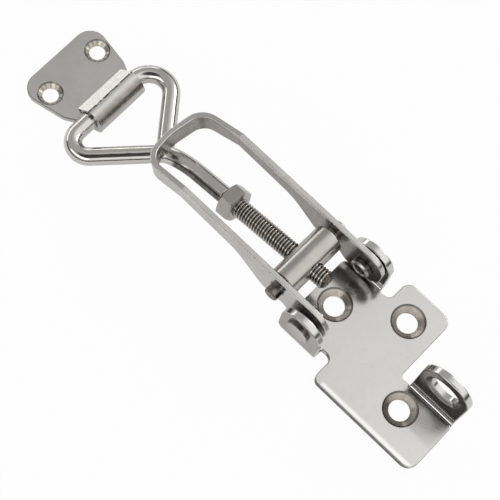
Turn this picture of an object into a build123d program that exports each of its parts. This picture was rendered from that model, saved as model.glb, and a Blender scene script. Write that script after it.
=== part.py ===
from build123d import *
import math
import os

os.makedirs("parts", exist_ok=True)

# Over centre toggle latch, stainless steel, shown open. Millimetres, +Z up.
# X runs along the latch: the catch is at -X, the padlock eye at +X.
# Y is across it. The source measures from the lever pivots; write() then moves each
# piece so that the origin is the neck screw hole, on the seat of the base plate.

# ---- sheet of the base ----
plate_t = 2.5
bend_in = 1.2
edge_soft = 0.45

# ---- base plate outline ----
neck_front = -6.5
ear_back = 7.9
ear_front = -6.9
notch_y = 12.8
shoulder_x = 11.8
shoulder_r_near = 2.3
shoulder_r_far = 3.0
notch_r = 2.1
half_width = 21.45
wing_back = 29.8
tail_lip = 0.3
corner_r = 3.6
slot_end = -2.3

# ---- screw holes of the base ----
screw_d = 6.6
screw_rim_d = 11.0
screw_land = 0.8
hole_neck = (1.2, 0.0)
hole_wing = (20.3, 11.9)
hole_tail = (36.3, -9.7)

# ---- ears and lever pivots ----
pivot_z = 13.0
ear_r = 7.3
ear_top_x = 0.4
ear_in_y = 14.05
ear_shift = -0.3
ear_gap = 1.1
ear_foot = 2.4
rivet_d = 5.0
pivot_fit = 0.08
rivet_head_d = 8.0
rivet_head_t = 1.15
rivet_tip_d = 6.6
rivet_tip_t = 1.9
rivet_cup_d = 4.0
rivet_cup_t = 1.6
collar_d = 7.4
side_play = 0.15

# ---- padlock eye ----
tab_face_y = -2.0
tab_bend_in = 1.2
tab_front = 33.5
tab_w = 16.8
tab_top = 26.6
eye_d = 9.6
eye_z = 16.9
eye_dish_d = 12.6
eye_dish_t = 0.9

# ---- lever ----
strap_t = 1.8
strap_h = 6.6
strap_h_bow = 5.4
bow_h = 6.7
lever_shift = 0.1
lever_top = 21.3
lever_end = 6.5
lobe_r = 6.9
droop_x = -51.8
droop_deg = 12.0
bow_reach = 17.6
bow_corner_r = 6.8
bow_belly = 1.2
bow_taper = 1.5
strap_soft = 0.35
lobe_drop = 7.9
lobe_back = -9.4
lobe_mid = -12.4
arm_run = 6.0

# ---- barrel ----
barrel_x = -12.65
barrel_z = 15.5
barrel_near_gap = 0.5
barrel_far_gap = 1.7
rod_y = -1.4
barrel_d = 9.5
pin_d = 5.0
pin_fit = 0.08
pin_out_near = 2.9
pin_out_far = 1.6
pin_nib_d = 4.5

# ---- rod, nut and bail wire ----
rod_d = 6.0
rod_fit = 0.06
rod_pitch_deg = 8.8
rod_stub = 9.4
thread_len = 41.0
nut_af = 10.0
nut_t = 5.0
nut_at = 28.4
nut_turn = 2.0
nut_chamfer = 0.65
wire_d = 5.6
neck_run = 12.6

# ---- bail triangle and catch, standing a little round to -Y ----
set_deg = 2.0
bar_x = -91.65
bar_y = -2.2
apex_x = -67.3
apex_y = -4.35
apex_z = 6.6
bail_left = -26.9
bail_right = 29.9
bail_r_left = 5.0
bail_r_right = 6.85

# ---- catch plate ----
catch_t = 2.0
knuckle_gap = 0.25
knuckle_w = 18.8
knuckle_shift = 0.2
catch_end = -24.2
catch_wide = 16.55
catch_waist = 4.0
catch_corner_r = 5.4
catch_hole_x = -16.05
catch_hole_gap = 20.7
catch_screw_d = 5.1
catch_rim_d = 8.2
catch_land = 0.6


def rounded(points):
    """Closed outline of straight lines through (x, y, r), each corner rounded by r."""
    n = len(points)
    cuts = []
    for i in range(n):
        ax, ay, ar = points[i - 1]
        bx, by, br = points[i]
        cx, cy, cr = points[(i + 1) % n]
        ua = Vector(ax - bx, ay - by).normalized()
        uc = Vector(cx - bx, cy - by).normalized()
        b = Vector(bx, by)
        if br <= 0:
            cuts.append((b, b, b))
            continue
        half = math.acos(max(-1.0, min(1.0, ua.dot(uc)))) / 2
        run = br / math.tan(half)
        mid = (ua + uc).normalized()
        near = b + mid * (br / math.sin(half) - br)
        cuts.append((b + ua * run, near, b + uc * run))
    edges = []
    for i in range(n):
        start, mid, end = cuts[i]
        if (start - end).length > 1e-6:
            edges.append(ThreePointArc(start, mid, end))
        nxt = cuts[(i + 1) % n][0]
        if (nxt - end).length > 1e-6:
            edges.append(Line(end, nxt))
    return make_face(Wire(edges))


def soften(solid, edges, sizes):
    """Round the given edges with the first radius that the shape takes."""
    for size in sizes:
        try:
            done = fillet(edges, size)
            if done.is_valid and done.volume > 0.5 * solid.volume:
                return done
        except Exception:
            continue
    return solid


def tidy(shape):
    found = shape.solids()
    return found[0] if len(found) == 1 else max(found, key=lambda s: s.volume)


def write(shape, name, label=None):
    solid = Pos(-hole_neck[0], -hole_neck[1], 0) * tidy(shape)
    solid.label = name
    print(name, "volume", round(solid.volume, 1), "valid", solid.is_valid)
    export_step(solid, "parts/" + name + ".step")
    return solid


def sunk_hole(x, y, thick, d, rim_d, land):
    """Through hole with a cone from the top face down to a straight land."""
    bore = Pos(x, y, thick / 2) * Cylinder(d / 2, thick * 3)
    depth = thick - land
    grow = (rim_d - d) / 2 / depth
    over = 0.4
    cone = Pos(x, y, land + (depth + over) / 2) * Cone(
        d / 2, rim_d / 2 + grow * over, depth + over
    )
    return bore + cone


def profile_xz(face, y0, y1):
    """Extrude an outline drawn as (x, z) between two values of y."""
    turned = Plane((0, y0, 0), x_dir=(1, 0, 0), z_dir=(0, -1, 0)) * face
    return extrude(turned, amount=y1 - y0, dir=(0, 1, 0))


def profile_yz(face, x0, x1):
    """Extrude an outline drawn as (y, z) between two values of x."""
    turned = Plane((x0, 0, 0), x_dir=(0, 1, 0), z_dir=(1, 0, 0)) * face
    return extrude(turned, amount=x1 - x0, dir=(1, 0, 0))


def bend_section(flat_y, face_y, inner, thick, height):
    """Sheet lying flat that turns up: (y, z) outline, turning towards +y."""
    outer = inner + thick
    q = math.sqrt(0.5)
    cy = face_y - inner
    cz = thick + inner
    edges = [
        Line((flat_y, 0), (cy, 0)),
        ThreePointArc((cy, 0), (cy + outer * q, cz - outer * q), (cy + outer, cz)),
        Line((cy + outer, cz), (cy + outer, height)),
        Line((cy + outer, height), (face_y, height)),
        Line((face_y, height), (face_y, cz)),
        ThreePointArc((face_y, cz), (cy + inner * q, cz - inner * q), (cy, thick)),
        Line((cy, thick), (flat_y, thick)),
        Line((flat_y, thick), (flat_y, 0)),
    ]
    return make_face(Wire(edges))


# ------------------------------------------------------------------ base plate
flat_y = ear_in_y - bend_in
tab_back = tab_front + tab_w
tail_x = tab_back + tail_lip
neck_from = ear_shift - flat_y
neck_to = ear_shift + flat_y
tab_flat_y = tab_face_y - tab_bend_in
outline = [
    (neck_front, neck_from, 1.5),
    (ear_back, neck_from, 0),
    (ear_back, -notch_y, 0),
    (shoulder_x, -notch_y, notch_r),
    (shoulder_x, -half_width, shoulder_r_near),
    (tail_x, -half_width, corner_r),
    (tail_x, tab_flat_y, 0.8),
    (tab_front, tab_flat_y, 0),
    (tab_front, slot_end, 0.5),
    (wing_back, slot_end, 1.6),
    (wing_back, half_width, corner_r),
    (shoulder_x, half_width, shoulder_r_far),
    (shoulder_x, notch_y, notch_r),
    (ear_back, notch_y, 0),
    (ear_back, neck_to, 0),
    (neck_front, neck_to, 1.5),
]
sheet = extrude(rounded(outline), amount=plate_t)

ear_section = bend_section(flat_y - 1.0, ear_in_y, bend_in, plate_t, pivot_z + ear_r)
ear_bar = profile_yz(ear_section, ear_front, ear_back)
ear_face = make_hull(
    [Circle(ear_r).moved(Location((ear_top_x, pivot_z, 0))).edge()]
    + Polyline((ear_front, 2 * ear_foot), (ear_front + ear_foot, 0), (ear_back, 0)).edges()
)
ear_mask = profile_xz(ear_face, flat_y - 5.0, ear_in_y + 9.0)
ear = ear_bar & ear_mask
ear_rim = [
    e for e in ear.edges()
    if e.center().Z > plate_t + bend_in + 0.5 and abs(abs(e.center().Y) - ear_in_y) < plate_t + 0.1
]
ear = soften(ear, ear_rim, (edge_soft, 0.3, 0.2))
ears = Pos(0, ear_shift, 0) * (ear + mirror(ear, Plane.XZ))

tab_section = bend_section(tab_flat_y - 1.0, tab_face_y, tab_bend_in, plate_t, tab_top)
tab_bar = profile_yz(tab_section, tab_front, tab_back)
tab_mid = tab_front + tab_w / 2
tab_r = tab_w / 2
tab_face = rounded([
    (tab_front, -1.0, 0),
    (tab_back, -1.0, 0),
    (tab_back, tab_top, tab_r - 0.05),
    (tab_front, tab_top, tab_r - 0.05),
])
tab = tab_bar & profile_xz(tab_face, -20.0, 20.0)
tab_rim = [
    e for e in tab.edges()
    if e.center().Z > plate_t + tab_bend_in + 0.5
]
tab = soften(tab, tab_rim, (edge_soft, 0.3, 0.2))
eye = Pos(tab_mid, 0, eye_z) * Rot(90, 0, 0) * Cylinder(eye_d / 2, 30)
dish = Pos(tab_mid, tab_face_y + eye_dish_t / 2, eye_z) * Rot(90, 0, 0) * Cone(
    eye_d / 2, eye_dish_d / 2, eye_dish_t + 0.02
)
tab = tab - eye - dish
lip = [
    e for e in tab.edges().filter_by(GeomType.CIRCLE)
    if abs(e.radius - eye_dish_d / 2) < 0.2 and abs(e.center().Y - tab_face_y) < 0.2
]
tab = soften(tab, lip, (0.5, 0.3, 0.15))

base = sheet + ears + tab
for hx, hy in (hole_neck, hole_wing, hole_tail):
    base = base - sunk_hole(hx, hy, plate_t, screw_d, screw_rim_d, screw_land)
for side in (-1, 1):
    bore_y = ear_shift + side * (ear_in_y + plate_t / 2)
    base = base - Pos(0, bore_y, pivot_z) * Rot(90, 0, 0) * Cylinder(rivet_d / 2, 2 * plate_t)
top_edges = [
    e for e in base.edges()
    if abs(e.center().Z - plate_t) < 0.01 and e.geom_type != GeomType.CIRCLE or (
        e.geom_type == GeomType.CIRCLE and abs(e.center().Z - plate_t) < 0.01
        and abs(e.arc_center.Z - plate_t) < 0.01 and e.radius < 4.2
    )
]
top_edges = [
    e for e in top_edges
    if e.center().X > ear_back + 0.05 and not (
        tab_front - 0.1 < e.center().X < tab_back + 0.1 and abs(e.center().Y - tab_flat_y) < 0.1
    )
]
base = soften(base, top_edges, (edge_soft, 0.35, 0.25, 0.15))
base_plate = write(base, "base_plate")

# ---------------------------------------------------------------- pivot rivets
lever_out_y = ear_in_y - ear_gap
lever_in_y = lever_out_y - strap_t
bore_r = rivet_d / 2


def pivot_rivet(side):
    """Short rivet: dished head outside the ear, collar in the gap, rolled tip inside the arm."""
    ear_y = ear_in_y + side * ear_shift
    head_y = ear_y + plate_t
    arm_out = lever_out_y + side * lever_shift
    arm_in = arm_out - strap_t
    q = [
        (0.0, head_y + rivet_head_t - 0.25),
        (rivet_head_d * 0.25, head_y + rivet_head_t),
        (rivet_head_d / 2 - 0.5, head_y + rivet_head_t),
        (rivet_head_d / 2 - 0.12, head_y + rivet_head_t - 0.2),
        (rivet_head_d / 2, head_y + rivet_head_t - 0.55),
        (rivet_head_d / 2, head_y),
        (bore_r, head_y),
        (bore_r, ear_y),
        (collar_d / 2, ear_y),
        (collar_d / 2, arm_out + side_play),
        (bore_r, arm_out + side_play),
        (bore_r, arm_in - side_play),
        (rivet_tip_d / 2, arm_in - side_play),
        (rivet_tip_d / 2, arm_in - side_play - rivet_tip_t * 0.7),
        (rivet_tip_d / 2 - 0.5, arm_in - side_play - rivet_tip_t),
        (rivet_cup_d / 2 + 0.25, arm_in - side_play - rivet_tip_t),
        (rivet_cup_d / 2, arm_in - side_play - rivet_tip_t + 0.25),
        (rivet_cup_d / 2 - 0.3, arm_in - side_play - rivet_tip_t + rivet_cup_t),
        (0.0, arm_in - side_play - rivet_tip_t + rivet_cup_t),
    ]
    face = make_face(Polyline([(a, b) for a, b in q] + [q[0]]))
    body = revolve(face, Axis.Y, 360)
    body = Pos(0, 0, pivot_z) * body
    return body if side > 0 else mirror(body, Plane.XZ)


write(pivot_rivet(1), "pivot_rivet_right")
write(pivot_rivet(-1), "pivot_rivet_left")

# ----------------------------------------------------------------------- lever
strap_low = lever_top - strap_h
lobe_low = barrel_z - lobe_drop
arm_end_x = droop_x - arm_run
arm_outline = rounded([
    (arm_end_x, lever_top, 0),
    (lever_end, lever_top, 6.4),
    (lever_end, pivot_z - lobe_r, 6.2),
    (-6.0, pivot_z - lobe_r, 4.0),
    (lobe_back, lobe_low + 1.2, 2.5),
    (lobe_mid, lobe_low, 3.0),
    (barrel_x - 5.2, lobe_low, 4.5),
    (-29.0, strap_low, 12.0),
    (arm_end_x, lever_top - strap_h_bow, 0),
])
arm = profile_xz(arm_outline, lever_in_y, lever_out_y)
long_edges = [
    e for e in arm.edges()
    if abs(e.center().X - (arm_end_x)) > 0.5
]
arm = soften(arm, long_edges, (strap_soft, 0.25, 0.15))
arms = arm + mirror(arm, Plane.XZ)

slope = math.radians(droop_deg)
bow_near = -bow_reach + bow_belly
bow_far = bow_near + 0.6
bow_root = 8.0


def bow_outline(inset, corner_r, belly_r):
    """Plan of the bow in its own slope: near side straight, far side drawing in."""
    side = lever_out_y - inset
    return rounded([
        (bow_root, -side, 0),
        (bow_root, side, 0),
        (0.0, side, 30.0),
        (bow_far + inset, side - bow_taper, corner_r),
        (-bow_reach + inset, -1.3, belly_r),
        (bow_near + inset, -side, corner_r),
    ])


bow_face_out = bow_outline(0.0, bow_corner_r, 20.0)
bow_face_in = bow_outline(strap_t, bow_corner_r - strap_t, 18.0)
bow = extrude(bow_face_out, amount=-bow_h) - extrude(bow_face_in, amount=-3 * bow_h, both=True)
bow_flank = rounded([
    (-bow_reach - 1.0, 1.0, 0),
    (bow_root, 1.0, 0),
    (bow_root, -strap_h_bow, 0),
    (0.0, -strap_h_bow, 20.0),
    (bow_near, -bow_h, 0),
    (-bow_reach - 1.0, -bow_h, 0),
])
bow = bow & profile_xz(bow_flank, -2 * lever_out_y, 2 * lever_out_y)
bow_edges = [
    e for e in bow.edges()
    if e.center().X < bow_root - 0.1 and abs((e % 0.5).Z) < 0.5
]
bow = soften(bow, bow_edges, (strap_soft, 0.25, 0.15))
bow = Pos(droop_x, 0, lever_top) * Rot(0, -droop_deg, 0) * bow
miter = Plane((droop_x, 0, lever_top), x_dir=(0, 1, 0), z_dir=(math.cos(slope / 2), 0, math.sin(slope / 2)))
arms = split(arms, bisect_by=miter, keep=Keep.TOP)
bow = split(bow, bisect_by=miter, keep=Keep.BOTTOM)
lever = bow
for piece in arms.solids():
    lever = lever + piece
lever = Pos(0, lever_shift, 0) * lever
pivot_bore = Rot(90, 0, 0) * Cylinder(bore_r + pivot_fit, 60)
lever = lever - Pos(0, 0, pivot_z) * pivot_bore
lever = lever - Pos(barrel_x, 0, barrel_z) * Rot(90, 0, 0) * Cylinder(pin_d / 2 + pin_fit, 60)
write(lever, "lever")

# ---------------------------------------------------------------------- barrel
rod_dir = Vector(-math.cos(math.radians(rod_pitch_deg)), 0, -math.sin(math.radians(rod_pitch_deg)))
centre = Vector(barrel_x, rod_y, barrel_z)
barrel_from = -lever_in_y + lever_shift + barrel_near_gap
barrel_to = lever_in_y + lever_shift - barrel_far_gap
barrel_y = (barrel_from + barrel_to) / 2
body = Cylinder(barrel_d / 2, barrel_to - barrel_from)
body = soften(body, body.edges().filter_by(GeomType.CIRCLE), (0.4, 0.2))
pin_from = -lever_out_y + lever_shift - 0.15
pin_to = lever_out_y + lever_shift + 0.15
pins = Pos(0, 0, (pin_from + pin_to) / 2 - barrel_y) * Cylinder(pin_d / 2, pin_to - pin_from)
nib_from = pin_from - pin_out_near
nib_to = pin_to + pin_out_far
nibs = Cylinder(pin_nib_d / 2, nib_to - nib_from)
nibs = soften(nibs, nibs.edges().filter_by(GeomType.CIRCLE), (0.5, 0.3))
nibs = Pos(0, 0, (nib_from + nib_to) / 2 - barrel_y) * nibs
barrel = body + pins + nibs
barrel = Pos(barrel_x, barrel_y, barrel_z) * Rot(-90, 0, 0) * barrel
rod_plane = Plane(origin=centre, z_dir=rod_dir)
tapped = rod_plane * Cylinder(rod_d / 2 + rod_fit, 3 * barrel_d)
barrel = barrel - tapped
write(barrel, "barrel")

# ------------------------------------------------------------------------ bail
bar_z = catch_t + wire_d / 2 + knuckle_gap
set_back = Pos(bar_x, bar_y, 0) * Rot(0, 0, set_deg)
rod_start = centre - rod_dir * rod_stub
thread_end = centre + rod_dir * (thread_len - rod_stub)
stem_end = (barrel_x - apex_x) / -rod_dir.X - neck_run
stem_from = centre + rod_dir * stem_end
rod = Plane(origin=rod_start, z_dir=rod_dir) * Cylinder(
    rod_d / 2, thread_len, align=(Align.CENTER, Align.CENTER, Align.MIN)
)
rod = soften(rod, rod.edges().filter_by(GeomType.CIRCLE).sort_by(Axis.X)[-1:], (0.7, 0.4))
stem = Plane(origin=thread_end - rod_dir, z_dir=rod_dir) * Cylinder(
    wire_d / 2, stem_end - (thread_len - rod_stub) + 1.0, align=(Align.CENTER, Align.CENTER, Align.MIN)
)

rise = (apex_z - bar_z) / (apex_x - bar_x)
tri_plane = Plane(origin=(0, 0, bar_z), x_dir=(1, 0, rise), z_dir=(-rise, 0, 1))
reach = math.hypot(apex_x - bar_x, apex_z - bar_z)


def round_path(points):
    """Open wire of lines through (x, y, r) with the corners rounded, drawn on the flat."""
    edges = []
    start = Vector(points[0][0], points[0][1])
    for i in range(1, len(points) - 1):
        ax, ay, ar = points[i - 1]
        bx, by, br = points[i]
        cx, cy, cr = points[i + 1]
        b = Vector(bx, by)
        ua = Vector(ax - bx, ay - by).normalized()
        uc = Vector(cx - bx, cy - by).normalized()
        half = math.acos(ua.dot(uc)) / 2
        run = br / math.tan(half)
        near = b + (ua + uc).normalized() * (br / math.sin(half) - br)
        edges.append(Line(start, b + ua * run))
        edges.append(ThreePointArc(b + ua * run, near, b + uc * run))
        start = b + uc * run
    edges.append(Line(start, Vector(points[-1][0], points[-1][1])))
    return Wire(edges)


foot = Vector(reach, apex_y - bar_y, 0)


def bail_line(corner_y, corner_r):
    """Middle line of the wire from the middle of the bar round one corner to the apex."""
    path = round_path([
        (0.0, 0.0, 0),
        (0.0, corner_y, corner_r),
        (foot.X, foot.Y, 0),
    ])
    return set_back * (tri_plane * path)


def wire_along(path):
    """Round wire swept along its middle line."""
    return sweep(Plane(origin=path @ 0, z_dir=path % 0) * Circle(wire_d / 2), path=path)


left_line = bail_line(bail_left, bail_r_left)
left_side = wire_along(left_line)
right_side = wire_along(bail_line(bail_right, bail_r_right))
apex_at = left_line @ 1
knot = Pos(apex_at.X, apex_at.Y, apex_at.Z) * Sphere(wire_d / 2)
neck_path = Spline(
    [tuple(apex_at), tuple(stem_from)],
    tangents=[(1, 0.45, 0.25), tuple(-rod_dir)],
)
neck = wire_along(neck_path)
bail = left_side + right_side + knot + neck + stem + rod
write(bail, "bail")

# -------------------------------------------------------------------- lock nut
nut_centre = centre + rod_dir * nut_at
hexagon = extrude(RegularPolygon(nut_af / 2, 6, major_radius=False), amount=nut_t / 2, both=True)
corner_d = nut_af / math.cos(math.pi / 6)
drop = nut_chamfer
lens = Cylinder(corner_d / 2 + 0.01, nut_t - 2 * drop)
for side in (-1, 1):
    cap = Cone(corner_d / 2 + 0.01, corner_d / 2 - drop / math.tan(math.pi / 6), drop)
    cap = Pos(0, 0, nut_t / 2 - drop / 2) * cap
    lens = lens + (cap if side > 0 else mirror(cap, Plane.XY))
nut = hexagon & lens
nut = nut - Cylinder(rod_d / 2 + rod_fit, 2 * nut_t)
nut_plane = Plane(origin=nut_centre, x_dir=(0, 1, 0), z_dir=rod_dir)
nut = nut_plane * (Rot(0, 0, nut_turn) * nut)
write(nut, "lock_nut")

# ----------------------------------------------------------------- catch plate
inner = wire_d / 2 + knuckle_gap
outer = inner + catch_t
half_k = knuckle_w / 2
plan = rounded([
    (0.0, knuckle_shift - half_k, 0),
    (0.0, knuckle_shift + half_k, 0),
    (-7.5, half_k + catch_waist, 3.0),
    (catch_end, catch_wide, catch_corner_r),
    (catch_end, -catch_wide, catch_corner_r),
    (-7.5, -half_k - catch_waist, 3.0),
])
flat = extrude(plan, amount=catch_t)
flat = soften(flat, flat.faces().sort_by(Axis.Z)[-1].edges().filter_by(lambda e: e.center().X < -0.5), (0.35, 0.2))
q = math.sqrt(0.5)
top_at = math.radians(96)
tip_x = -5.3
knuckle_edges = [
    Line((-3.0, -outer), (0, -outer)),
    ThreePointArc((0, -outer), (outer, 0), (outer * math.cos(top_at), outer * math.sin(top_at))),
    Line((outer * math.cos(top_at), outer * math.sin(top_at)), (tip_x, 0.1)),
    Line((tip_x, 0.1), (-4.3, -1.4)),
    Line((-4.3, -1.4), (-inner, -0.6)),
    ThreePointArc((-inner, -0.6), (inner * q, inner * q), (0, -inner)),
    Line((0, -inner), (-3.0, -inner)),
    Line((-3.0, -inner), (-3.0, -outer)),
]
knuckle = profile_xz(make_face(Wire(knuckle_edges)), knuckle_shift - half_k, knuckle_shift + half_k)
knuckle = Pos(0, 0, outer) * knuckle
catch = flat + knuckle
for side in (-1, 1):
    catch = catch - sunk_hole(
        catch_hole_x, side * catch_hole_gap / 2, catch_t, catch_screw_d, catch_rim_d, catch_land
    )
catch = set_back * catch
write(catch, "catch_plate")
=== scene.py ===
import math
import bpy
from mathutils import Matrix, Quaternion, Vector


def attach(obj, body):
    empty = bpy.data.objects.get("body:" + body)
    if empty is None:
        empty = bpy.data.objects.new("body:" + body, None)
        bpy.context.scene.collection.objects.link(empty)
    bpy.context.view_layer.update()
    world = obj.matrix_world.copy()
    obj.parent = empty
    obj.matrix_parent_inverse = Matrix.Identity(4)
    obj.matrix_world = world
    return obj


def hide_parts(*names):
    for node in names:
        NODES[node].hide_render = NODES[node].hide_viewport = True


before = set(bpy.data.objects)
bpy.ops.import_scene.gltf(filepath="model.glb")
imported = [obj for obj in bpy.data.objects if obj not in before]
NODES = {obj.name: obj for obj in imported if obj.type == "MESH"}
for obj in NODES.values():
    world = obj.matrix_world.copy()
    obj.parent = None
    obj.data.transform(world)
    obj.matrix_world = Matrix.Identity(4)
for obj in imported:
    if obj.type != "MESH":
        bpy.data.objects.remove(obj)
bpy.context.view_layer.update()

MM = 0.001


# ---------------------------------------------------------------- camera
# Pinhole camera fitted to the photograph.
cam_data = bpy.data.cameras.new("camera")
cam_data.lens = 97.2
cam_data.sensor_width = 36.0
cam_data.clip_start = 0.01
cam_data.clip_end = 20.0
cam = bpy.data.objects.new("camera", cam_data)
cam.location = (0.0372804, -0.1273043, 0.3833722)
cam.rotation_mode = "QUATERNION"
cam.rotation_quaternion = Quaternion((0.91052170, 0.17259853, 0.01961451, 0.37520027))
bpy.context.scene.collection.objects.link(cam)
bpy.context.scene.camera = cam
bpy.context.scene.view_settings.view_transform = "Standard"


# ---------------------------------------------------------------- shader helpers
def shaded(color, share):
    return tuple(c * share for c in color)


class Graph:
    """One material, with short names for its shader nodes."""

    def __init__(self, name):
        self.mat = bpy.data.materials.new(name)
        self.mat.use_nodes = True
        self.tree = self.mat.node_tree
        self.tree.nodes.clear()
        output = self.new("ShaderNodeOutputMaterial")
        self.bsdf = self.new("ShaderNodeBsdfPrincipled")
        self.link(self.bsdf.outputs[0], output.inputs["Surface"])
        self.object = self.new("ShaderNodeTexCoord").outputs["Object"]
        self.place = self.split(self.object)
        self.facing = self.split(self.new("ShaderNodeNewGeometry").outputs["Normal"])

    def new(self, kind):
        return self.tree.nodes.new(kind)

    def link(self, a, b):
        self.tree.links.new(a, b)

    def split(self, vector):
        """The X, Y and Z of a vector."""
        n = self.new("ShaderNodeSeparateXYZ")
        self.link(vector, n.inputs[0])
        return n.outputs

    def put(self, socket, value):
        if isinstance(value, bpy.types.NodeSocket):
            self.link(value, socket)
        else:
            socket.default_value = value

    def unplug(self, name):
        """Take out what feeds a socket of the shader, and return it."""
        link = self.bsdf.inputs[name].links[0]
        source = link.from_socket
        self.tree.links.remove(link)
        return source

    def plug(self, name, source):
        self.link(source, self.bsdf.inputs[name])

    def math(self, op, a, b=0.0, c=0.0):
        n = self.new("ShaderNodeMath")
        n.operation = op
        self.put(n.inputs[0], a)
        self.put(n.inputs[1], b)
        if op == "MULTIPLY_ADD":
            self.put(n.inputs[2], c)
        return n.outputs[0]

    def add(self, a, b):
        return self.math("ADD", a, b)

    def minus(self, a, b):
        return self.math("SUBTRACT", a, b)

    def times(self, first, *others):
        for other in others:
            first = self.math("MULTIPLY", first, other)
        return first

    def step(self, value, low, high, to_low=0.0, to_high=1.0):
        n = self.new("ShaderNodeMapRange")
        n.interpolation_type = "SMOOTHSTEP"
        self.put(n.inputs["Value"], value)
        n.inputs["From Min"].default_value = low
        n.inputs["From Max"].default_value = high
        n.inputs["To Min"].default_value = to_low
        n.inputs["To Max"].default_value = to_high
        return n.outputs[0]

    def stretched(self, scale):
        n = self.new("ShaderNodeMapping")
        n.vector_type = "POINT"
        self.link(self.object, n.inputs["Vector"])
        n.inputs["Scale"].default_value = scale
        return n.outputs[0]

    def noise(self, scale, detail, rough, vector=None):
        n = self.new("ShaderNodeTexNoise")
        self.link(vector or self.object, n.inputs["Vector"])
        n.inputs["Scale"].default_value = scale
        n.inputs["Detail"].default_value = detail
        n.inputs["Roughness"].default_value = rough
        n.inputs["Distortion"].default_value = 0.0
        return n.outputs["Fac"]

    def mix(self, factor, a, b, blend="MIX"):
        n = self.new("ShaderNodeMix")
        n.data_type = "RGBA"
        n.blend_type = blend
        self.put(n.inputs["Factor"], factor)
        ports = [q for q in n.inputs if q.type == "RGBA"]
        for port, v in zip(ports, (a, b)):
            self.put(port, v if isinstance(v, bpy.types.NodeSocket) else (*v, 1.0))
        return [q for q in n.outputs if q.type == "RGBA"][0]

    def bump(self, height, strength, distance, before=None):
        n = self.new("ShaderNodeBump")
        n.inputs["Strength"].default_value = strength
        n.inputs["Distance"].default_value = distance
        self.link(height, n.inputs["Height"])
        if before is not None:
            self.link(before, n.inputs["Normal"])
        return n.outputs["Normal"]

    def vector(self, op, a, b=None):
        n = self.new("ShaderNodeVectorMath")
        n.operation = op
        self.link(a, n.inputs[0])
        if b is not None:
            n.inputs[1].default_value = b
        return n.outputs["Value" if op == "LENGTH" else "Vector"]

    def from_point(self, x, y):
        """Offsets in metres from an upright axis through x, y."""
        return self.minus(self.place["X"], x), self.minus(self.place["Y"], y)

    def inside(self, low, high, soft):
        """1 inside a box of the part, falling softly to 0 outside it."""
        share = None
        for k, name in enumerate("XYZ"):
            v = self.place[name]
            above = self.step(v, low[k] - soft, low[k] + soft)
            below = self.step(v, high[k] + soft, high[k] - soft)
            band = self.times(above, below)
            share = band if share is None else self.times(share, band)
        return share


# ---------------------------------------------------------------- steel
# Painted shade laid into corners, creases and gaps between parts.
CORNER_SHADE_TONE = (0.10, 0.085, 0.07)
# Painted reflection: dark line on edge roundings.
RIM_REFLECTION_TONE = (0.14, 0.13, 0.12)
# Painted shade on the sides of rivet heads and tips.
RIVET_RIM_SHADE_TONE = (0.12, 0.11, 0.10)
# Painted shade in the thread roots.
ROOT_SHADE_TONE = (0.13, 0.11, 0.09)
# Painted shade in the groove along the kink of the catch's curl.
GROOVE_SHADE_TONE = (0.05, 0.04, 0.03)
# Brown of the catch's roll: partly staining, partly painted shade on faces turned towards +X.
ROLL_STAIN_AND_SHADE_TONE = (0.20, 0.165, 0.135)
LIP_TONES = ((0.60, 0.59, 0.555), (0.50, 0.485, 0.45))
# Painted highlight along an edge.
EDGE_HIGHLIGHT_TONE = (1.0, 1.0, 0.99)
DEEP, PITTED = 0.86, 0.55
LEAST_ROUGH = 0.05
TURNING_PITCH = 0.00034

# The catch hangs on the bail's cross bar, which is turned by SET and passes through BAR (mm).
SET = math.radians(2.0)
BAR = Vector((-92.85, -2.2, 0.0))

# Marks on the catch's curl, in metres: x from the bar's axis, z from the seat.
GROOVE_X, GROOVE_WANDER = 0.0006, 0.0008
GROOVE_EDGE = (0.00036, 0.00016)
GROOVE_ABOVE = (0.0085, 0.0092)
ROLL_ABOVE = (0.0035, 0.0050)
PLATE_TOP = (0.0030, 0.0035)
LIP_EDGE = (-0.0004, -0.0006)
TILT_FROM, TILT_SLOPE = -0.0005, 440.0


def steel(name, color, rough, grain, grain_depth, cloud, pit=0.2, shade_reach=0.0022):
    """Satin stainless: base tone, cloudy staining, directional grain, fine pits, painted shade in
    corners.
    """
    g = Graph(name)
    g.bsdf.inputs["Metallic"].default_value = 1.0
    big = g.noise(90.0, 4.0, 0.6)
    mid = g.noise(420.0, 4.0, 0.6)
    fine = g.noise(2600.0, 3.0, 0.7)
    streak = g.noise(1.0, 3.0, 0.65, g.stretched(grain))

    tone = g.mix(g.step(big, 0.35, 0.68), shaded(color, 1.0 - cloud), color)
    tone = g.mix(g.times(g.step(streak, 0.55, 0.75), 0.35), tone, shaded(color, DEEP))
    tone = g.mix(g.times(g.step(fine, 0.70, 0.78), pit), tone, shaded(color, PITTED))
    # Painted shade: the colour darkens where ambient occlusion finds corners and gaps, and the
    # same mask roughens the surface there.
    shut = g.new("ShaderNodeAmbientOcclusion")
    shut.samples = 6
    shut.inputs["Distance"].default_value = shade_reach
    corner_shade = g.step(shut.outputs["AO"], 0.12, 0.72, 0.88, 0.0)
    g.plug("Base Color", g.mix(corner_shade, tone, CORNER_SHADE_TONE))

    r = g.add(rough, g.times(g.minus(mid, 0.5), 0.10))
    r = g.add(r, g.times(g.minus(streak, 0.5), 0.10))
    r = g.add(r, g.times(corner_shade, 0.25))
    g.plug("Roughness", g.math("MAXIMUM", r, LEAST_ROUGH))

    normal = g.bump(streak, grain_depth, 0.00006)
    normal = g.bump(mid, 0.05, 0.00010, normal)
    g.plug("Normal", g.bump(fine, 0.05, 0.00002, normal))
    return g


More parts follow.
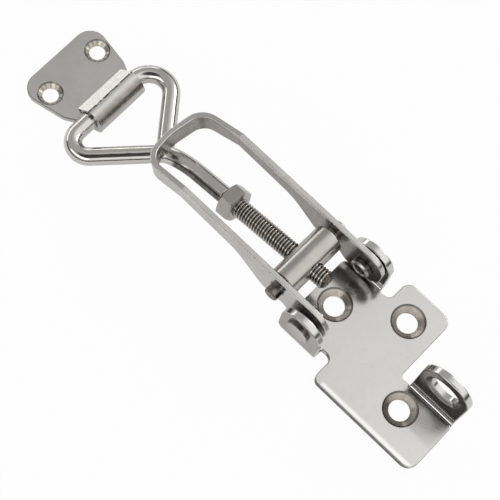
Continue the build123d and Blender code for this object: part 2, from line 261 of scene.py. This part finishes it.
def countersinks(g, places, rim, land_top, warm, rays=0.0):
    """Turning marks, a tone that darkens towards the bottom, and a dark lip of painted shade in
    the cones of screw holes at the given places.

    rays is how many times the tool chattered on its way round, in radians of wave a radian.
    """
    tone, r, normal = (g.unplug(k) for k in ("Base Color", "Roughness", "Normal"))
    for x, y in places:
        dx, dy = g.from_point(x, y)
        d = g.math("SQRT", g.add(g.times(dx, dx), g.times(dy, dy)))
        z = g.place["Z"]
        inside = g.times(g.step(d, rim, rim * 0.985), g.step(z, land_top - 0.0004, land_top))
        sloped = g.times(inside, g.step(g.facing["Z"], 0.97, 0.90))
        wave = g.math("SINE", g.times(d, 2.0 * math.pi / TURNING_PITCH))
        rag = g.noise(1700.0, 2.0, 0.6)
        ring = g.add(g.times(wave, 0.5), rag)
        # low makes the cone darker towards its bottom; lip lays painted shade along the cone's
        # upper edge.
        low = g.step(z, land_top + 0.0016, land_top)
        lip = g.step(d, rim * 0.90, rim * 0.965)
        tint = g.mix(g.times(g.step(ring, 0.2, 1.1), 0.55), warm, shaded(warm, 0.62))
        tint = g.mix(g.times(low, 0.35), tint, shaded(warm, 0.45))
        tint = g.mix(g.times(lip, 0.75), tint, shaded(warm, 0.30))
        if rays:
            turn = g.math("ARCTAN2", dy, dx)
            chatter = g.math("SINE", g.math("MULTIPLY_ADD", turn, rays, g.times(rag, 5.0)))
            tint = g.mix(g.times(g.step(chatter, 0.1, 0.8), 0.75), tint, shaded(warm, 0.33))
        tone = g.mix(sloped, tone, tint)
        r = g.add(r, g.times(sloped, 0.06))
        normal = g.bump(g.times(ring, sloped), 0.35, 0.00005, normal)
    for name, source in (("Base Color", tone), ("Roughness", r), ("Normal", normal)):
        g.plug(name, source)


def painted_rim_reflection(g, top):
    """Painted reflection: dark line on the small rounding of a plate's top edges, standing in for
    the dark surroundings it would mirror.
    """
    z, up = g.place["Z"], g.facing["Z"]
    slant = g.times(g.step(up, 0.96, 0.88), g.step(up, 0.05, 0.20))
    near_top = g.times(
        g.step(z, top - 0.0006, top - 0.0003),
        g.step(z, top + 0.00012, top + 0.00004),
    )
    g.plug("Base Color", g.mix(g.times(slant, near_top, 0.8), g.unplug("Base Color"), RIM_REFLECTION_TONE))


def haze(g, low, high, add, soft):
    """Duller patch of the polish inside a box of the part."""
    patch = g.times(g.inside(low, high, soft), add)
    g.plug("Roughness", g.add(g.unplug("Roughness"), patch))


def shade_where(g, low, high, axis, side, share, soft=0.0004):
    """Painted shade: a darker patch inside a box of the part, on faces that look along one side
    of an axis.
    """
    shade_patch = g.inside(low, high, soft)
    if axis:
        shade_patch = g.times(shade_patch, g.step(g.times(g.facing[axis], side), 0.45, 0.8))
    shade_patch = g.times(shade_patch, g.step(g.noise(500.0, 3.0, 0.6), 0.25, 0.6, 0.75, 1.0))
    dark = (share, share * 0.96, share * 0.92)
    g.plug("Base Color", g.mix(shade_patch, g.unplug("Base Color"), dark, "MULTIPLY"))


def curl(g):
    """The curl of the catch: pale flattened lip, broken dark line of painted shade in the groove
    along its kink, brown roll that is partly staining and partly painted shade on faces turned
    towards +X.
    """
    dx, dy = g.from_point(BAR.x * MM, BAR.y * MM)
    x = g.add(g.times(dx, math.cos(SET)), g.times(dy, math.sin(SET)))
    z, side = g.place["Z"], g.facing["X"]

    # Painted shade: a broken dark line in the groove along the kink.
    wander = g.times(g.minus(g.noise(260.0, 2.0, 0.5), 0.5), GROOVE_WANDER)
    off = g.math("ABSOLUTE", g.minus(g.add(x, GROOVE_X), wander))
    dash = g.step(g.noise(520.0, 3.0, 0.7), 0.40, 0.48)
    line = g.times(g.step(off, *GROOVE_EDGE), dash, g.step(z, *GROOVE_ABOVE))

    # Roll: partly staining, partly painted shade on faces turned towards +X.
    roll = g.times(g.step(side, 0.20, 0.62), g.step(side, 0.97, 0.84))
    roll = g.times(roll, g.step(z, *ROLL_ABOVE))
    roll = g.times(roll, g.step(g.noise(380.0, 3.0, 0.6), 0.2, 0.6, 0.55, 0.80))

    above_plate = g.step(z, *PLATE_TOP)
    lip = g.times(g.step(x, *LIP_EDGE), above_plate)
    lip_tone = g.mix(g.step(g.noise(1500.0, 3.0, 0.7), 0.40, 0.62), *LIP_TONES)
    tone = g.mix(lip, g.unplug("Base Color"), lip_tone)
    tone = g.mix(roll, tone, ROLL_STAIN_AND_SHADE_TONE)
    g.plug("Base Color", g.mix(line, tone, GROOVE_SHADE_TONE))

    # The lip lies flatter in the photograph than the solid's facet: turn its shading 17 degrees.
    down = g.math("MAXIMUM", g.minus(TILT_FROM, x), 0.0)
    tilt = g.times(down, TILT_SLOPE, above_plate)
    g.plug("Normal", g.bump(tilt, 1.0, 0.001, g.unplug("Normal")))


def thread_root_shade(g, centre, along):
    """Painted shade in the roots of the thread, by the distance from the rod's axis."""
    across = g.vector("CROSS_PRODUCT", g.vector("SUBTRACT", g.object, centre), along)
    root = g.step(g.vector("LENGTH", across), 0.00284, 0.00254)
    g.plug("Base Color", g.mix(root, g.unplug("Base Color"), ROOT_SHADE_TONE))


def painted_edge_highlight(g, low, high, soft):
    """Painted highlight: a bright band along a plate's long edge, standing in for the glint on
    its rounding.
    """
    band = g.inside(low, high, soft)
    g.plug("Base Color", g.mix(band, g.unplug("Base Color"), EDGE_HIGHLIGHT_TONE))


def rivet_rim_shade(g):
    """Painted shade: dark rim round each rivet's head and rolled tip, on faces that look away
    from its axis.
    """
    rim = g.times(g.step(g.math("ABSOLUTE", g.facing["Y"]), 0.80, 0.40), 0.8)
    g.plug("Base Color", g.mix(rim, g.unplug("Base Color"), RIVET_RIM_SHADE_TONE))


base = steel(
    "base_steel", (0.70, 0.698, 0.688), 0.17,
    grain=(900.0, 900.0, 900.0), grain_depth=0.02, cloud=0.03, pit=0.06,
)
catch = steel(
    "catch_steel", (0.66, 0.65, 0.63), 0.24,
    grain=(1200.0, 250.0, 1200.0), grain_depth=0.12, cloud=0.08,
)
lever = steel(
    "lever_steel", (0.70, 0.69, 0.67), 0.24,
    grain=(2600.0, 260.0, 2600.0), grain_depth=0.08, cloud=0.14,
)
rivet = steel(
    "rivet_steel", (0.62, 0.60, 0.565), 0.26,
    grain=(900.0, 2600.0, 900.0), grain_depth=0.2, cloud=0.2,
)
barrel = steel(
    "barrel_steel", (0.58, 0.553, 0.51), 0.22,
    grain=(1800.0, 200.0, 1800.0), grain_depth=0.25, cloud=0.15,
)
nut = steel(
    "nut_steel", (0.56, 0.535, 0.50), 0.26,
    grain=(500.0, 2400.0, 2400.0), grain_depth=0.2, cloud=0.15,
)
wire_steel = steel(
    "wire_steel", (0.68, 0.67, 0.64), 0.15,
    grain=(300.0, 900.0, 2400.0), grain_depth=0.05, cloud=0.06,
)
thread_steel = steel(
    "thread_steel", (0.62, 0.595, 0.555), 0.20,
    grain=(900.0, 900.0, 900.0), grain_depth=0.1, cloud=0.12, shade_reach=0.0007,
)

countersinks(
    base, ((0.0, 0.0), (0.0191, 0.0119), (0.0351, -0.0097)),
    rim=0.00555, land_top=0.0008, warm=(0.66, 0.60, 0.53),
)
countersinks(
    catch, ((-0.109251, 0.007584), (-0.108529, -0.013104)),
    rim=0.0041, land_top=0.0006, warm=(0.78, 0.72, 0.62), rays=13.0,
)
# Painted reflection on the top-edge roundings of the base and catch.
painted_rim_reflection(base, 0.0025)
painted_rim_reflection(catch, 0.0020)

# Darker patches by place, mostly painted shade: box of the part, axis and side that the face
# looks along, share of light left.
near_side_shadow = (0.0085, -0.0220, -0.0005), (0.0500, 0.0220, 0.0023)
tab_face_shade = (0.0320, -0.0050, 0.0030), (0.0500, -0.0012, 0.0262)
near_ear_shade = (-0.0100, -0.0225, 0.0040), (0.0070, -0.0150, 0.0220)
stem_side_reflection = (-0.0640, -0.0080, 0.0060), (-0.0280, -0.0010, 0.0200)
barrel_tip_shade = (-0.0220, -0.0175, 0.0080), (-0.0060, -0.0130, 0.0220)
far_arm = (-0.0700, 0.0080, 0.0050), (0.0080, 0.0120, 0.0202)
bow_inside = (-0.0850, -0.0200, 0.0050), (-0.0560, 0.0200, 0.0300)
beside_tab = (0.0330, -0.0125, 0.0020), (0.0490, -0.0036, 0.0030)
# Painted highlight along the base's near long edge.
near_edge_highlight = (0.0135, -0.0211, 0.0020), (0.0500, -0.0199, 0.0030)
# Painted shadow along the base's near side at the floor; painted shade on the tab's near face,
# the near ear's face and the barrel's near tip; painted reflection of the near arm along the
# stem's near side. The far arm's and the bow's inner faces are only made darker.
shade_where(base, *near_side_shadow, "Y", -1.0, 0.05, soft=0.0002)
shade_where(base, *tab_face_shade, "Y", -1.0, 0.30)
shade_where(base, *near_ear_shade, "Y", -1.0, 0.60)
shade_where(wire_steel, *stem_side_reflection, "Y", -1.0, 0.18, soft=0.001)
shade_where(barrel, *barrel_tip_shade, None, 1.0, 0.30)
shade_where(lever, *far_arm, "Y", -1.0, 0.50)
shade_where(lever, *bow_inside, "X", 1.0, 0.48)
haze(base, *beside_tab, add=0.20, soft=0.0012)
# Painted highlight along the base's near long edge.
painted_edge_highlight(base, *near_edge_highlight, soft=0.0005)
curl(catch)
# Painted shade round the rivet heads and tips.
rivet_rim_shade(rivet)

for node, g in (
    ("base_plate", base),
    ("catch_plate", catch),
    ("lever", lever),
    ("pivot_rivet_left", rivet),
    ("pivot_rivet_right", rivet),
    ("barrel", barrel),
    ("lock_nut", nut),
    ("bail", wire_steel),
):
    slots = NODES[node].data.materials
    slots.clear()
    slots.append(g.mat)


# ---------------------------------------------------------------- rod, stem and bail wire
# Sizes in millimetres. The rod runs through the barrel's CENTRE, ALONG towards the catch.
PITCH = math.radians(8.8)
ALONG = Vector((-math.cos(PITCH), 0.0, -math.sin(PITCH)))
CENTRE = Vector((-13.85, -1.4, 15.5))
STUB, THREAD_LEN, STEM_END = 9.4, 41.0, 42.7
MAJOR, ROOT, WIRE, SCREW_PITCH = 2.98, 2.46, 2.8, 1.0
ROWS_PER_PITCH, THREAD_COLS, WIRE_COLS = 20, 40, 28
BAR_STEPS, ARC_STEPS, LEG_STEPS, STEM_STEPS, NECK_STEPS = 6, 24, 12, 10, 24
FLANK_FROM, FLANK_WIDTH = 0.14, 0.66
TIP_R, TIP_RISE = 2.15, 0.85
LEAD_IN, RUN_OUT = 1.1, 1.2
BAR_Z, APEX_Z = 5.05, 6.6
APEX = Vector((24.35, -2.15, 0.0))
NEAR_CORNER = (-26.9, 5.0)
FAR_CORNER = (29.9, 6.85)
NECK_PULL = 12.0
NECK_DOWN = Vector((-1.0, -0.45, -0.25)).normalized()


def mesh_object(name, verts, faces, material, body, slot):
    mesh = bpy.data.meshes.new(name)
    mesh.from_pydata([tuple(v * MM) for v in verts], [], faces)
    mesh.materials.append(material)
    for p in mesh.polygons:
        p.use_smooth = True
    mesh.update()
    obj = bpy.data.objects.new(name, mesh)
    bpy.context.scene.collection.objects.link(obj)
    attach(obj, body)
    return obj


def side_axes(direction):
    up = Vector((0, 0, 1))
    side = up.cross(direction).normalized()
    return side, direction.cross(side).normalized()


def around(centre, side, up, r, j, cols):
    a = 2.0 * math.pi * j / cols
    return centre + side * (r * math.cos(a)) + up * (r * math.sin(a))


def ring_faces(rings, cols, first=0):
    """Quads between rings of cols points each, the first ring starting at a given vertex."""
    faces = []
    for i in range(rings - 1):
        for j in range(cols):
            a = first + i * cols + j
            b = first + i * cols + (j + 1) % cols
            faces.append((a, b, b + cols, a + cols))
    return faces


def thread_profile(t):
    """Rolled thread: rounded crest, rounded root, straight flanks. t runs 0..1 over one pitch."""
    t = abs((t % 1.0) - 0.5) * 2.0
    lift = min(1.0, max(0.0, (t - FLANK_FROM) / FLANK_WIDTH))
    return lift * lift * (3.0 - 2.0 * lift)


def thread_rod():
    """The threaded rod: a helix with a chamfered tip, running out into the wire."""
    rows, cols = int(THREAD_LEN / SCREW_PITCH * ROWS_PER_PITCH), THREAD_COLS
    side, up = side_axes(ALONG)
    start = CENTRE - ALONG * STUB
    verts = [start + ALONG * 0.02]
    for i in range(rows + 1):
        s = THREAD_LEN * i / rows
        fade_in = min(1.0, s / LEAD_IN)
        fade_out = min(1.0, (THREAD_LEN - s) / RUN_OUT)
        for j in range(cols):
            depth = thread_profile(s / SCREW_PITCH - j / cols)
            r = ROOT + (MAJOR - ROOT) * depth
            if fade_in < 1.0:
                r = min(r, TIP_R + TIP_RISE * fade_in)
            if fade_out < 1.0:
                r = WIRE * (1.0 - fade_out) + r * fade_out
            verts.append(around(start + ALONG * s, side, up, r, j, cols))
    faces = [(0, 1 + (j + 1) % cols, 1 + j) for j in range(cols)]
    return verts, faces + ring_faces(rows + 1, cols, first=1)


def tube(points):
    """Round wire through the points, with a frame carried along it without twist."""
    n, cols = len(points), WIRE_COLS
    tangents = [
        (points[min(n - 1, i + 1)] - points[max(0, i - 1)]).normalized() for i in range(n)
    ]
    side, up = side_axes(tangents[0])
    verts = []
    for i in range(n):
        if i:
            turn = tangents[i - 1].rotation_difference(tangents[i])
            side = turn @ side
            up = turn @ up
        verts += [around(points[i], side, up, WIRE, j, cols) for j in range(cols)]
    faces = ring_faces(n, cols)
    faces.append(tuple(reversed(range(cols))))
    faces.append(tuple(range((n - 1) * cols, n * cols)))
    return verts, faces


def joined(parts):
    verts, faces = [], []
    for v, f in parts:
        k = len(verts)
        verts += v
        faces += [tuple(i + k for i in face) for face in f]
    return verts, faces


def on_bail(x, y):
    """A point of the bail's plane, from the plan position against the bar."""
    z = BAR_Z + (APEX_Z - BAR_Z) * x / APEX.x
    c, s = math.cos(SET), math.sin(SET)
    return Vector((BAR.x + x * c - y * s, BAR.y + x * s + y * c, z))


def corner_path(corner_y, r):
    """Half of the triangle: from the bar's middle round one corner to the apex."""
    a, b, c = Vector((0, 0)), Vector((0, corner_y)), Vector((APEX.x, APEX.y))
    ua, uc = (a - b).normalized(), (c - b).normalized()
    half = math.acos(max(-1, min(1, ua.dot(uc)))) / 2
    run = r / math.tan(half)
    mid = b + (ua + uc).normalized() * (r / math.sin(half))
    p0, p1 = b + ua * run, b + uc * run
    pts = [a.lerp(p0, i / BAR_STEPS) for i in range(BAR_STEPS)]
    a0 = math.atan2(p0.y - mid.y, p0.x - mid.x)
    a1 = math.atan2(p1.y - mid.y, p1.x - mid.x)
    turn = (a1 - a0 + math.pi) % (2 * math.pi) - math.pi
    for i in range(ARC_STEPS + 1):
        t = a0 + turn * i / ARC_STEPS
        pts.append(Vector((mid.x + r * math.cos(t), mid.y + r * math.sin(t))))
    pts += [p1.lerp(c, i / LEG_STEPS) for i in range(1, LEG_STEPS + 1)]
    return [on_bail(p.x, p.y) for p in pts]


def hermite(p, q, tp, tq, n):
    """n + 1 points from p to q, leaving p along tp and reaching q along tq."""
    pts = []
    for i in range(n + 1):
        t = i / n
        h00 = 2 * t ** 3 - 3 * t ** 2 + 1
        h10 = t ** 3 - 2 * t ** 2 + t
        h01 = -2 * t ** 3 + 3 * t ** 2
        h11 = t ** 3 - t ** 2
        pts.append(p * h00 + tp * h10 + q * h01 + tq * h11)
    return pts


apex = on_bail(APEX.x, APEX.y)
stem_end = CENTRE + ALONG * STEM_END
thread_end = CENTRE + ALONG * (THREAD_LEN - STUB)
# Painted shade in the roots of the thread.
thread_root_shade(thread_steel, CENTRE * MM, ALONG)
stem_points = [thread_end.lerp(stem_end, i / STEM_STEPS) for i in range(STEM_STEPS)]
stem_points += hermite(stem_end, apex, ALONG * NECK_PULL, NECK_DOWN * NECK_PULL, NECK_STEPS)
wire_parts = [tube(stem_points), tube(corner_path(*NEAR_CORNER)), tube(corner_path(*FAR_CORNER))]
wire = mesh_object("bail_wire", *joined(wire_parts), wire_steel.mat, "bail", "bail")
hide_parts("bail")
remesh = wire.modifiers.new("weld", "REMESH")
remesh.mode = "VOXEL"
remesh.voxel_size = 0.00024
remesh.use_smooth_shade = True
smooth = wire.modifiers.new("blend", "SMOOTH")
smooth.factor = 0.5
smooth.iterations = 6
mesh_object("bail_thread", *thread_rod(), thread_steel.mat, "bail", "bail")


# ---------------------------------------------------------------- floor
FLOOR_HALF, FLOOR_Z = 3.0, -0.0003
floor_mesh = bpy.data.meshes.new("floor")
corners = [(x * FLOOR_HALF, y * FLOOR_HALF, 0) for x, y in ((-1, -1), (1, -1), (1, 1), (-1, 1))]
floor_mesh.from_pydata(corners, [], [(0, 1, 2, 3)])
floor = bpy.data.objects.new("floor", floor_mesh)
floor.location = (0.0, 0.0, FLOOR_Z)
bpy.context.scene.collection.objects.link(floor)

# White to the camera and partly to reflections, but the shadow stays.
FLOOR_TONE, TO_CAMERA, TO_GLOSS = 0.86, 0.96, 0.35
floor_mat = bpy.data.materials.new("floor_white")
floor_mat.use_nodes = True
tree = floor_mat.node_tree
tree.nodes.clear()
out = tree.nodes.new("ShaderNodeOutputMaterial")
diffuse = tree.nodes.new("ShaderNodeBsdfDiffuse")
diffuse.inputs["Color"].default_value = (FLOOR_TONE, FLOOR_TONE, FLOOR_TONE, 1)
glow = tree.nodes.new("ShaderNodeEmission")
glow.inputs["Color"].default_value = (1, 1, 1, 1)
glow.inputs["Strength"].default_value = 1.0
path = tree.nodes.new("ShaderNodeLightPath")
share = tree.nodes.new("ShaderNodeMath")
share.operation = "MULTIPLY"
share.inputs[1].default_value = TO_CAMERA
seen = tree.nodes.new("ShaderNodeMath")
seen.operation = "MULTIPLY_ADD"
seen.inputs[1].default_value = TO_GLOSS
mixer = tree.nodes.new("ShaderNodeMixShader")
tree.links.new(path.outputs["Is Camera Ray"], share.inputs[0])
tree.links.new(path.outputs["Is Glossy Ray"], seen.inputs[0])
tree.links.new(share.outputs[0], seen.inputs[2])
tree.links.new(seen.outputs[0], mixer.inputs[0])
tree.links.new(diffuse.outputs[0], mixer.inputs[1])
tree.links.new(glow.outputs[0], mixer.inputs[2])
tree.links.new(mixer.outputs[0], out.inputs["Surface"])
floor_mesh.materials.append(floor_mat)


# ---------------------------------------------------------------- world and lamps
world = bpy.data.worlds.new("studio")
bpy.context.scene.world = world
world.use_nodes = True
tree = world.node_tree
tree.nodes.clear()
out = tree.nodes.new("ShaderNodeOutputWorld")
sky = tree.nodes.new("ShaderNodeBackground")
coord = tree.nodes.new("ShaderNodeTexCoord")
xyz = tree.nodes.new("ShaderNodeSeparateXYZ")
tree.links.new(coord.outputs["Generated"], xyz.inputs[0])
tree.links.new(sky.outputs[0], out.inputs["Surface"])


def sky_step(value, low, high, to_low, to_high, kind="SMOOTHSTEP"):
    n = tree.nodes.new("ShaderNodeMapRange")
    n.interpolation_type = kind
    tree.links.new(value, n.inputs["Value"])
    ends = (("From Min", low), ("From Max", high), ("To Min", to_low), ("To Max", to_high))
    for key, v in ends:
        n.inputs[key].default_value = v
    return n.outputs[0]


def sky_times(x, y):
    n = tree.nodes.new("ShaderNodeMath")
    n.operation = "MULTIPLY"
    tree.links.new(x, n.inputs[0])
    if isinstance(y, float):
        n.inputs[1].default_value = y
    else:
        tree.links.new(y, n.inputs[1])
    return n.outputs[0]


# A tent open at one place above the front: dark opening and low walls, bright top and rear.
DARK_AT = Vector((0.12, -0.36, 0.92)).normalized()
WARMTH = (0.992, 0.975)
toward = tree.nodes.new("ShaderNodeVectorMath")
toward.operation = "DOT_PRODUCT"
toward.inputs[1].default_value = DARK_AT
tree.links.new(coord.outputs["Generated"], toward.inputs[0])
opening = sky_step(toward.outputs["Value"], 0.86, 0.955, 1.0, 0.05)
height = sky_step(xyz.outputs["Z"], 0.14, 0.44, 0.04, 0.92)
across = sky_step(xyz.outputs["X"], -0.40, 0.08, 0.50, 1.16, "LINEAR")
level = sky_times(sky_times(height, across), opening)
warm_sky = tree.nodes.new("ShaderNodeCombineColor")
tree.links.new(level, warm_sky.inputs[0])
tree.links.new(sky_times(level, WARMTH[0]), warm_sky.inputs[1])
tree.links.new(sky_times(level, WARMTH[1]), warm_sky.inputs[2])
tree.links.new(warm_sky.outputs[0], sky.inputs["Color"])
sky.inputs["Strength"].default_value = 1.0


def softbox(name, place, target, size, power):
    data = bpy.data.lights.new(name, "AREA")
    data.shape = "RECTANGLE"
    data.size, data.size_y = size
    data.energy = power
    obj = bpy.data.objects.new(name, data)
    obj.location = place
    aim = Vector(target) - Vector(place)
    obj.rotation_euler = aim.to_track_quat("-Z", "Y").to_euler()
    bpy.context.scene.collection.objects.link(obj)


MIDDLE, NEAR_BOW = (-0.02, 0.0, 0.0), (-0.05, 0.0, 0.0)
softbox("rear", place=(0.25, 0.85, 0.55), target=MIDDLE, size=(0.7, 0.25), power=2.0)
softbox("front", place=(-0.10, -0.80, 0.58), target=MIDDLE, size=(1.3, 0.30), power=1.7)
softbox("left", place=(-0.95, 0.25, 0.24), target=NEAR_BOW, size=(1.5, 0.26), power=2.0)
